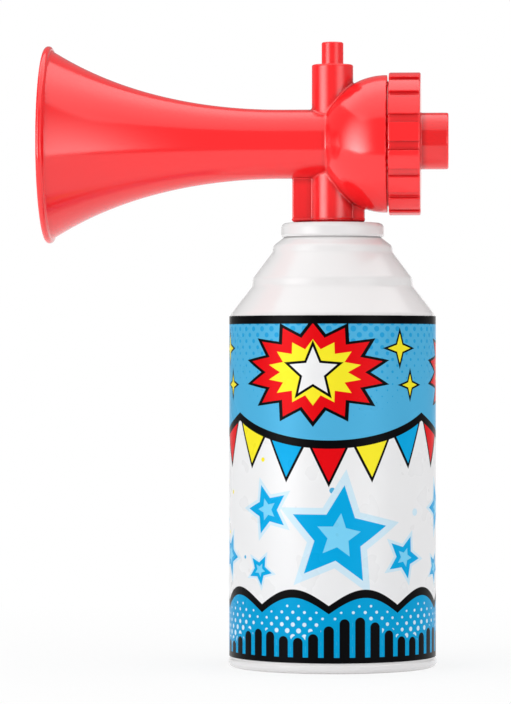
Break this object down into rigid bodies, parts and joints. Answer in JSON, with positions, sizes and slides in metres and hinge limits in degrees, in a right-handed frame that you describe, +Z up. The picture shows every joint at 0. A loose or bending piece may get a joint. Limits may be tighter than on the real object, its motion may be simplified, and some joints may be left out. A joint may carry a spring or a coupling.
{
  "type": "air horn",
  "caption": "Hand-held gas air horn: a white aerosol can with a printed label and a red trumpet head that is sounded by a push button on top.",
  "frame": {"origin": "centre of the can's standing ring, on the table", "axes": "+Z up the can's axis, -X the way the horn points, +X towards the screw cap, -Y the side that the picture shows"},
  "size_m": [0.1292, 0.0664, 0.1994],
  "materials": {
    "white_can": "gloss",
    "label_film": "gloss",
    "white_cup": "gloss",
    "red_plastic": "gloss",
    "white_plastic": "satin",
    "clear_film": "gloss",
    "black_rubber": "matte",
    "spring_steel": "satin"
  },
  "bodies": {
    "can": {"can_body": "white_can", "can_label": "label_film", "valve_cup": "white_cup", "cup_gasket": "black_rubber", "valve_housing": "white_plastic", "stem_gasket": "black_rubber", "valve_spring": "spring_steel"},
    "valve": {"valve_stem": "white_plastic"},
    "head": {"horn_body": "red_plastic", "seat_gasket": "black_rubber", "diaphragm": "clear_film", "button_spring": "spring_steel", "rod_seal": "black_rubber", "seal_bush": "white_plastic"},
    "plunger": {"push_button": "red_plastic", "push_rod": "spring_steel", "stem_socket": "white_plastic", "socket_seal": "black_rubber"},
    "clamp": {"clamp_ring": "white_plastic"},
    "cap": {"diaphragm_cap": "red_plastic"}
  },
  "joints": [
    {"name": "head_swivel", "type": "hinge", "parent": "can", "child": "head", "pos_m": [0, 0, 0.1416], "axis": [0, 0, 1], "continuous": true},
    {"name": "button_press", "type": "slide", "parent": "head", "child": "plunger", "axis": [0, 0, -1], "range_m": [0, 0.003], "stiffness_N_per_m": 3000, "springref_m": -0.003, "deforming": ["button_spring"]},
    {"name": "stem_press", "type": "slide", "parent": "can", "child": "valve", "axis": [0, 0, -1], "range_m": [0, 0.003], "deforming": ["valve_spring"]},
    {"name": "cap_back", "type": "slide", "parent": "head", "child": "clamp", "axis": [1, 0, 0], "range_m": [0, 0.00525]},
    {"name": "cap_turn", "type": "hinge", "parent": "clamp", "child": "cap", "pos_m": [0.0231, 0, 0.16681], "axis": [1, 0, 0], "range_deg": [0, 630]}
  ],
  "couplings": [
    {"joint": "stem_press", "follows": "button_press", "ratio": 1},
    {"joint": "cap_back", "follows": "cap_turn", "m_per_rad": 0.00047746}
  ]
}
